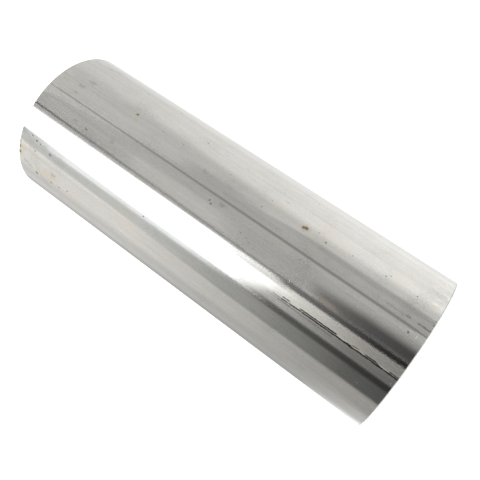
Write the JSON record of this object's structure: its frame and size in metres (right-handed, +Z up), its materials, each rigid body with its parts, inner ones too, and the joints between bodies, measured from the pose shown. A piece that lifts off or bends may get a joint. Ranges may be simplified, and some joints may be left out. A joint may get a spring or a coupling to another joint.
{
  "type": "stainless steel tube",
  "caption": "Short straight length of thin-walled welded stainless steel tube, open and cut square at both ends, with a lengthwise seam.",
  "frame": {"origin": "centre of the lower end, in the plane of the cut", "axes": "+Z up along the tube's axis, -Y through the lengthwise weld"},
  "size_m": [0.0762, 0.0762, 0.2032],
  "materials": {
    "stainless_sheet": "cold-rolled mill finish with fine lengthwise lines, a few rust specks and water stains"
  },
  "bodies": {
    "root": {"tube": "stainless_sheet"}
  },
  "joints": []
}
